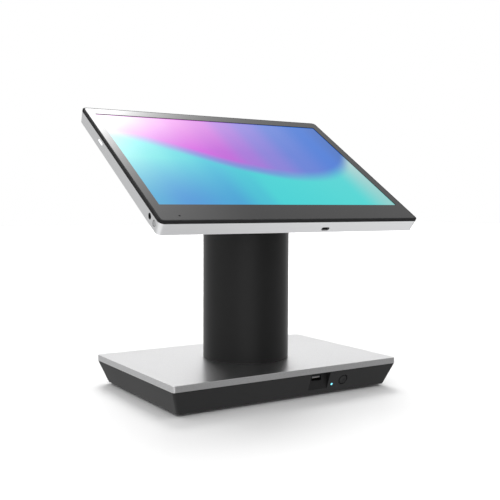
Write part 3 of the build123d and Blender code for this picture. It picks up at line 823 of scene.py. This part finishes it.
def makeBaseButton():
    look = baseButtonLook
    joints = {joint["name"]: joint for joint in frame["record"]["behaviour"]["joints"]}
    out = -Vector(joints["base_power_press"]["axis"]).normalized()
    low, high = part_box("base_power_button")
    # the face's middle, from how far the cap's edge and the flange reach
    face = Vector(((low.x + high.x) / 2, low.y - (look["cap"] - look["capEdge"]) * out.z,
                   low.z - look["flangeTop"] * -out.z - look["flange"] * out.y))
    place = Matrix.Translation(face) @ out.to_track_quat("Z", "Y").to_matrix().to_4x4()
    onAxis = onLine((0, 0, 0), 2)
    cap = addRod("basePowerCap", look["cap"], onAxis(-look["flangeLow"]), onAxis(0), 96)
    roundEdges(cap, atLevel(2, 0), look["capRound"], 4)
    pickFaces(cap, facing((0, 0, 1), flat))
    bpy.ops.mesh.inset(thickness=look["capRim"], depth=0)
    for width, sink in look["dishSteps"]:
        bpy.ops.mesh.inset(thickness=width, depth=sink)
    closeEdit()
    flange = addRod("basePowerFlange", look["flange"], onAxis(-look["flangeLow"]),
                    onAxis(-look["flangeTop"]), 64)
    roundEdges(flange, atLevel(2, -look["flangeTop"]), look["flangeRound"])
    stem = addRod("basePowerStem", look["stem"], onAxis(-look["stemLow"]),
                  onAxis(look["stemLap"] - look["flangeLow"]), 32)
    roundEdges(stem, atLevel(2, -look["stemLow"]), look["stemRound"])
    # the flange and stem are painted near-black: painted shade at the bottom of the groove round the cap
    button = joinParts("basePowerCap", [paint(cap, "darkButton")] + paintAll((flange, stem), "deepBlackAndPaintedShade"))
    handOver(button, "base_button", "base_power_button", place)


# headphone socket in the head's left wall
audioLook = {
    "collar": 3.3 * mm,
    "collarDepth": 2.0 * mm,
    "collarRound": 0.15 * mm,
    "mouth": 1.8 * mm,
    "proud": 0.85 * mm,  # how far the collar reaches into the wall's hole
    "depth": 14.0 * mm,
    "cutterOver": 1.0 * mm,
    "halfHeight": 3.4 * mm,
    "corner": 0.4 * mm,
    "contact": 0.4 * mm,
    "contactStart": 4.0 * mm,
    "contactEnd": 2.0 * mm,
    "contactRound": 0.15 * mm,
}


def makeAudioJack():
    look = audioLook
    low, high = panelBox("audio_jack")
    middle = (low + high) / 2
    start = low.x - look["proud"]
    end = low.x + look["depth"]
    shoulder = low.x + look["collarDepth"]
    onAxis = onLine(middle, 0)
    barrel = addRod("audioJack", look["collar"], onAxis(start), onAxis(shoulder), 64)
    roundEdges(barrel, atLevel(0, start), look["collarRound"])
    body = addBlock("audioJackBody", (shoulder, middle.y - look["halfHeight"], low.z),
                    (high.x, middle.y + look["halfHeight"], high.z))
    roundEdges(body, along(0), look["corner"])
    for part in (barrel, body):
        carve(part, addRod("jackCutter", look["mouth"], onAxis(start - look["cutterOver"]), onAxis(end)))
    contactStart = start + look["contactStart"]
    onSide = onLine(middle + Vector((0, look["mouth"], 0)), 0)
    contact = addRod("audioJackContact", look["contact"], onSide(contactStart),
                     onSide(end - look["contactEnd"]), 16)
    roundEdges(contact, atLevel(0, contactStart), look["contactRound"])
    # the barrel and body are near-black: their own black plastic and painted shade down the jack's hole
    jack = joinParts("audioJack", paintAll((barrel, body), "deepBlackAndPaintedShade") + [paint(contact, "goldContact")])
    handOver(jack, "head", "audio_jack", headPlace)


# head power button: a dished cap, a flange behind the wall and a stem to the switch
headButtonLook = {
    "capShare": 0.62,  # the cap's width as a share of the flange's
    "capRound": 0.3 * mm,
    "capRim": 0.5 * mm,
    "dishWidth": 1.0 * mm,
    "dish": 0.25 * mm,
    "flangeThick": 0.8 * mm,
    "flangeRound": 0.15 * mm,
    "stem": 1.2 * mm,
    "stemLength": 1.6 * mm,
    "stemLap": 0.05 * mm,
    "stemRound": 0.2 * mm,
}


def makeHeadButton():
    look = headButtonLook
    low, high = panelBox("head_power_button")
    flange = (high.y - low.y) / 2
    middle = (low + high) / 2
    flangeEnd = high.x - look["stemLength"]
    capEnd = flangeEnd - look["flangeThick"]
    onAxis = onLine(middle, 0)
    cap = addRod("headPowerCap", flange * look["capShare"], onAxis(low.x), onAxis(capEnd), 64)
    roundEdges(cap, atLevel(0, low.x), look["capRound"], 3)
    pickFaces(cap, facing((-1, 0, 0), flat))
    bpy.ops.mesh.inset(thickness=look["capRim"], depth=0)
    bpy.ops.mesh.inset(thickness=look["dishWidth"], depth=-look["dish"])
    closeEdit()
    plate = addRod("headPowerFlange", flange, onAxis(capEnd), onAxis(flangeEnd))
    roundEdges(plate, atLevel(0, capEnd), look["flangeRound"])
    stem = addRod("headPowerStem", look["stem"], onAxis(flangeEnd - look["stemLap"]), onAxis(high.x), 32)
    roundEdges(stem, atLevel(0, high.x), look["stemRound"])
    # the flange and stem are painted near-black: painted shade in the gap round the cap
    button = joinParts("headPowerCap", [paint(cap, "greyButton")] + paintAll((plate, stem), "deepBlackAndPaintedShade"))
    handOver(button, "head_button", "head_power_button", headPlace)


# microphone behind the glass border, with a gasket in its pinhole
microphoneLook = {
    "round": 0.3 * mm,
    "gasketOuter": 1.08 * mm,
    "gasketInner": 0.6 * mm,
    "gasketRise": 1.7 * mm,
    "gasketLap": 0.05 * mm,
}


def makeMicrophone():
    look = microphoneLook
    low, high = panelBox("microphone")
    middle = (low + high) / 2
    onAxis = onLine(middle, 2)
    capsule = addRod("microphone", (high.x - low.x) / 2, onAxis(low.z), onAxis(high.z))
    roundEdges(capsule, atLevel(2, low.z), look["round"])
    gasket = addRod("microphoneGasket", look["gasketOuter"], onAxis(high.z - look["gasketLap"]),
                    onAxis(high.z + look["gasketRise"]), 32)
    wall = look["gasketOuter"] - look["gasketInner"]
    pushFaces(gasket, facing((0, 0, 1)), wall, (0, 0, -look["gasketRise"]))
    # the capsule and gasket are near-black: their own black and painted shade in the pinhole
    piece = joinParts("microphone", paintAll((capsule, gasket), "deepBlackAndPaintedShade"))
    handOver(piece, "head", "microphone", headPlace)


# feet: moulded rubber with a rounded tread and a groove
footLook = {
    "radius": 9.0 * mm,
    "treadRound": 0.7 * mm,
    "grooveInset": 2.2 * mm,
    "grooveSlope": 0.3 * mm,
    "grooveWidth": 0.9 * mm,
    "grooveDepth": 0.5 * mm,
}


def makeFeet():
    look = footLook
    low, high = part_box("base_feet")
    radius = look["radius"]
    onAxis = onLine((low.x + radius, low.y + radius, 0), 2)
    foot = addRod("rubberFoot0", radius, onAxis(low.z), onAxis(high.z), 64)
    roundEdges(foot, atLevel(2, low.z), look["treadRound"], 4)
    pickFaces(foot, facing((0, 0, -1), flat))
    bpy.ops.mesh.inset(thickness=look["grooveInset"], depth=0)
    bpy.ops.mesh.inset(thickness=look["grooveSlope"], depth=-look["grooveDepth"])
    bpy.ops.mesh.inset(thickness=look["grooveWidth"], depth=0)
    bpy.ops.mesh.inset(thickness=look["grooveSlope"], depth=look["grooveDepth"])
    closeEdit()
    feet = [paint(foot, "footRubber")]
    spanX, spanY = high.x - low.x - 2 * radius, high.y - low.y - 2 * radius
    for shift in ((spanX, 0, 0), (0, spanY, 0), (spanX, spanY, 0)):
        feet.append(copyPart(foot, f"rubberFoot{len(feet)}", shift))
    for index, piece in enumerate(feet):
        handOver(piece, "base", None if index else "base_feet")


# screws: domed heads with a hexagon socket, in two columns
screwLook = {
    "back_screws": {"head": 2.8 * mm, "rise": 0.9 * mm, "shank": 1.5 * mm, "length": 8.0 * mm, "rows": 3},
    "bracket_screws": {"head": 3.6 * mm, "rise": 1.2 * mm, "shank": 2.0 * mm, "length": 7.0 * mm, "rows": 2},
    "bottom_screws": {"head": 2.9 * mm, "rise": 0.6 * mm, "shank": 1.5 * mm, "length": 9.0 * mm, "rows": 2},
    "domeShare": 0.6,  # of the head's height
    "socketWidth": 0.48,  # of the head's width
    "socketFrom": 1.5,  # of the head's height, from below the head to inside it
    "socketTo": 0.35,
    "shankLap": 0.05 * mm,
    "shankRound": 0.4 * mm,
}


def makeScrews(node, name, body, turn):
    # one screw pointing up at the group's low corner, then a copy for each place; turn is None in the base
    look, own = screwLook, screwLook[node]
    low, high = panelBox(node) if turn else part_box(node)
    radius, rise = own["head"], own["rise"]
    level = low.z + rise
    socketLow = level - rise * look["socketFrom"]
    socketHigh = level - rise * look["socketTo"]
    onAxis = onLine((low.x + radius, low.y + radius, 0), 2)
    head = addRod(f"{name}0", radius, onAxis(low.z), onAxis(level))
    roundEdges(head, atLevel(2, low.z), rise * look["domeShare"], 4)
    cutter = addRod("socketCutter", radius * look["socketWidth"], onAxis(socketLow), onAxis(socketHigh), 6)
    carve(head, cutter)
    end = level + own["length"]
    shank = addRod(f"{name}Shank", own["shank"], onAxis(level - look["shankLap"]), onAxis(end), 24)
    roundEdges(shank, atLevel(2, end), look["shankRound"])
    screw = joinParts(f"{name}0", paintAll((head, shank), "blackSteelAndPaintedShade" if turn else "zincSteel"))
    stepX = high.x - low.x - 2 * radius
    stepY = (high.y - low.y - 2 * radius) / (own["rows"] - 1)
    screws = [screw]
    for column in range(2):
        for row in range(own["rows"]):
            if column or row:
                screws.append(copyPart(screw, f"{name}{len(screws)}", (column * stepX, row * stepY, 0)))
    for index, piece in enumerate(screws):
        handOver(piece, body, None if index else node, turn)


# hinge fittings: chamfered nuts and a stack of disc springs at each end of the shaft
hingeLook = {
    "nutFlat": 6.5 * mm,  # from the nut's middle to a flat
    "nutThick": 4.0 * mm,
    "nutChamfer": 0.6 * mm,
    "nutCorner": 0.25 * mm,
    "springs": 3,
    "springOuter": 7.5 * mm,
    "stackThick": 1.55 * mm,
    "springShare": 0.82,  # of its place in the stack, the rest is the gap
    "springRound": 0.12 * mm,
}


def makeHingeFittings():
    look = hingeLook
    low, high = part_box("tilt_shaft")
    nutLow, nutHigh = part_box("tilt_nuts")
    springLow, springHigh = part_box("disc_springs")
    onAxis = onLine((low + high) / 2, 0)
    for side, name in ((-1, "Left"), (1, "Right")):
        outer = nutLow.x if side < 0 else nutHigh.x
        nut = addRod(f"hingeNut{name}", look["nutFlat"] / math.cos(math.pi / 6),
                     onAxis(outer - side * look["nutThick"]), onAxis(outer), 6)
        roundEdges(nut, atLevel(0, outer), look["nutChamfer"])
        roundEdges(nut, lambda a, b: abs(a.x - b.x) > 1 * mm, look["nutCorner"])  # the long edges
        handOver(paint(nut, "zincSteel"), "turret", "tilt_nuts" if side < 0 else None)
        start = springLow.x if side < 0 else springHigh.x
        thick = look["stackThick"] / look["springs"]
        discs = []
        for index in range(look["springs"]):
            near = start - side * index * thick
            far = near - side * thick * look["springShare"]
            disc = addRod(f"discSpring{name}", look["springOuter"], onAxis(near), onAxis(far), 64)
            roundEdges(disc, lambda a, b: abs(a.x - b.x) < 1e-6, look["springRound"])  # the round edges
            discs.append(paint(disc, "zincSteel"))
        stack = joinParts(f"discSprings{name}", discs)
        handOver(stack, "turret", "disc_springs" if side < 0 else None)


makeUsbSockets()
makeModularSocket("lanSocket", "lan")
makeModularSocket("drawerSocket", "drawer")
makePowerInlet()
makeUsbCSocket()
print("sockets made")
makeBaseButton()
makeAudioJack()
makeHeadButton()
makeMicrophone()
makeFeet()
makeScrews("back_screws", "coverScrew", "head", headPlace)
makeScrews("bracket_screws", "bracketScrew", "head", headPlace)
makeScrews("bottom_screws", "bottomScrew", "base", None)
makeHingeFittings()
print("buttons, feet and fasteners made")


# the floor, with a painted glow away from the object
floorLook = {
    "size": 12.0,
    "paper": {"color": (0.825, 0.825, 0.825), "roughness": 0.6, "grain": 300.0, "speckle": 0.01,
              "drift": 0.01, "bump": 0.02, "specular": 0.2},
    "paintedGlowStart": 0.45,  # painted glow on the floor: it rises from none to full between these two distances from the object, so the floor fades into the white room and is left darker near the object
    "paintedGlowEnd": 1.6,
    # the painted glow's emission strength where it is full
    "paintedGlow": 0.4,
}


def makeFloorMaterial():
    material = grainMaterial("floorPaperPaintedGlow", floorLook["paper"])
    tree = material.node_tree
    place = addNode(tree, "ShaderNodeTexCoord")
    reach = addNode(tree, "ShaderNodeVectorMath", operation="LENGTH")
    tree.links.new(place.outputs["Object"], reach.inputs[0])
    # painted glow: emission rises with distance from the object, leaving the floor near it darker
    paintedGlow = smoothStep(tree, reach.outputs["Value"], floorLook["paintedGlowStart"], floorLook["paintedGlowEnd"])
    shader = tree.nodes["Principled BSDF"]
    shader.inputs["Emission Strength"].default_value = floorLook["paintedGlow"]
    tree.links.new(paintedGlow, shader.inputs["Emission Color"])
    return material


clearSelection()
bpy.ops.mesh.primitive_plane_add(size=floorLook["size"], location=(0, 0, 0))
floor = bpy.context.object
floor.name = "studioFloor"
floor.visible_glossy = False  # gloss shows the room's own lower half
floor.data.materials.append(makeFloorMaterial())

# the room's light
studio = {
    # brightness from right (0) to left (1), then what is added overhead and underfoot
    "side": [(0.0, 0.60), (0.2, 0.42), (0.35, 0.36), (0.45, 0.50), (0.6, 0.75), (0.77, 0.75), (1.0, 0.80)],
    "ceiling": 0.5,
    "ceilingReach": (0.1, 0.8),
    "underfoot": 0.46,
    "underfootReach": (-0.2, -0.7),
    # soft round patches: where they are, the cosines where they start and are full, and their brightness
    "patches": [((-0.53, -0.848, 0.0), 0.85, 1.0, 0.4), ((0.574, 0.819, 0.0), 0.72, 0.95, 0.45),
                ((0.343, 0.320, 0.883), 0.97, 0.996, 0.72), ((0.684, -0.290, -0.669), 0.965, 0.998, 0.42)],
    "windowBearing": math.radians(45.7),  # its right-hand edge, from straight back towards the right
    "windowSlant": -0.11,
    "windowSpread": math.radians(31.0),
    "windowTail": 0.041,
    "windowLeft": (-0.12, 0.05),
    "windowLow": math.radians(34.0),
    "windowHigh": math.radians(74.0),
    "windowSoftLow": 0.08,  # half widths of its soft lower and upper edges
    "windowSoftHigh": 0.03,
    "windowStrength": 9.7,
    "lampPlace": Vector((0.1, 0.2, 4.0)),
    "lampSize": 5.5,
    "lampPower": 70.0,
}


def makeWorld():
    world = bpy.data.worlds.new("studioRoom")
    bpy.context.scene.world = world
    world.use_nodes = True
    tree = world.node_tree
    tree.nodes.clear()
    link = tree.links.new
    direction = addNode(tree, "ShaderNodeTexCoord").outputs["Generated"]
    across = mathNode(tree, "MULTIPLY_ADD", alongAxis(tree, direction, (-1, 0, 0)), 0.5, 0.5)
    room = curveNode(tree, across, studio["side"])
    rise = alongAxis(tree, direction, (0, 0, 1))
    ceiling = mathNode(tree, "MULTIPLY", smoothStep(tree, rise, *studio["ceilingReach"]), studio["ceiling"])
    below = smoothStep(tree, rise, *studio["underfootReach"])
    underfoot = mathNode(tree, "MULTIPLY", below, studio["underfoot"])

    # a tall window with a soft right-hand edge
    right = studio["windowBearing"]
    fromRight = alongAxis(tree, direction, (-math.cos(right), math.sin(right), studio["windowSlant"]))
    left = right - studio["windowSpread"]
    fromLeft = alongAxis(tree, direction, (math.cos(left), -math.sin(left), 0))
    past = mathNode(tree, "MINIMUM", fromRight, 0.0)
    window = mathNode(tree, "EXPONENT", mathNode(tree, "DIVIDE", past, studio["windowTail"]))
    low, softLow = math.sin(studio["windowLow"]), studio["windowSoftLow"]
    high, softHigh = math.sin(studio["windowHigh"]), studio["windowSoftHigh"]
    masks = [smoothStep(tree, fromLeft, *studio["windowLeft"]),
             smoothStep(tree, rise, low - softLow, low + softLow),
             smoothStep(tree, rise, high + softHigh, high - softHigh)]
    for mask in masks + [studio["windowStrength"]]:
        window = mathNode(tree, "MULTIPLY", window, mask)

    parts = [room, ceiling, underfoot]
    for toward, start, full, strength in studio["patches"]:
        patch = smoothStep(tree, alongAxis(tree, direction, toward), start, full)
        parts.append(mathNode(tree, "MULTIPLY", patch, strength))
    total = window
    for part in parts:
        total = mathNode(tree, "ADD", total, part)
    lit = addNode(tree, "ShaderNodeBackground")
    link(total, lit.inputs["Strength"])
    seen = addNode(tree, "ShaderNodeBackground")
    seen.inputs["Color"].default_value = (1, 1, 1, 1)
    light = addNode(tree, "ShaderNodeLightPath")
    choose = addNode(tree, "ShaderNodeMixShader")
    link(light.outputs["Is Camera Ray"], choose.inputs[0])
    link(lit.outputs[0], choose.inputs[1])
    link(seen.outputs[0], choose.inputs[2])
    end = addNode(tree, "ShaderNodeOutputWorld")
    link(choose.outputs[0], end.inputs["Surface"])


makeWorld()


def makeLamp():
    lamp = bpy.data.lights.new("overheadLamp", "AREA")
    lamp.shape = "DISK"
    lamp.size = studio["lampSize"]
    lamp.energy = studio["lampPower"]
    holder = bpy.data.objects.new("overheadLamp", lamp)
    bpy.context.scene.collection.objects.link(holder)
    holder.location = studio["lampPlace"]
    holder.visible_glossy = False
    holder.rotation_euler = (columnMiddle - holder.location).to_track_quat("-Z", "Y").to_euler()


makeLamp()

# the camera
view = {
    "bearing": math.radians(-32.17),  # from the column to the eye, about Z
    "distance": 0.9432,  # level distance from the column's axis
    "height": 0.2148,
    "heading": math.radians(-32.46),
    "dip": math.radians(3.36),
    "roll": math.radians(0.23),
    "lens": 57.97,
    "sensor": 36.0,
    "clipStart": 0.01,
    "clipEnd": 60.0,
}


def makeCamera():
    camera = bpy.data.cameras.new("viewCamera")
    camera.lens = view["lens"]
    camera.sensor_width = view["sensor"]
    camera.clip_start = view["clipStart"]
    camera.clip_end = view["clipEnd"]
    holder = bpy.data.objects.new("viewCamera", camera)
    bpy.context.scene.collection.objects.link(holder)
    eye = Vector((math.sin(view["bearing"]), -math.cos(view["bearing"]), 0)) * view["distance"]
    eye += Vector((columnMiddle.x, columnMiddle.y, view["height"]))
    turn = Matrix.Rotation(view["heading"], 4, "Z") @ Matrix.Rotation(math.pi / 2 - view["dip"], 4, "X")
    turn = turn @ Matrix.Rotation(view["roll"], 4, "Z")
    holder.matrix_world = Matrix.Translation(eye) @ turn
    bpy.context.scene.camera = holder


makeCamera()
bpy.context.scene.view_settings.view_transform = "Standard"
print("studio made")
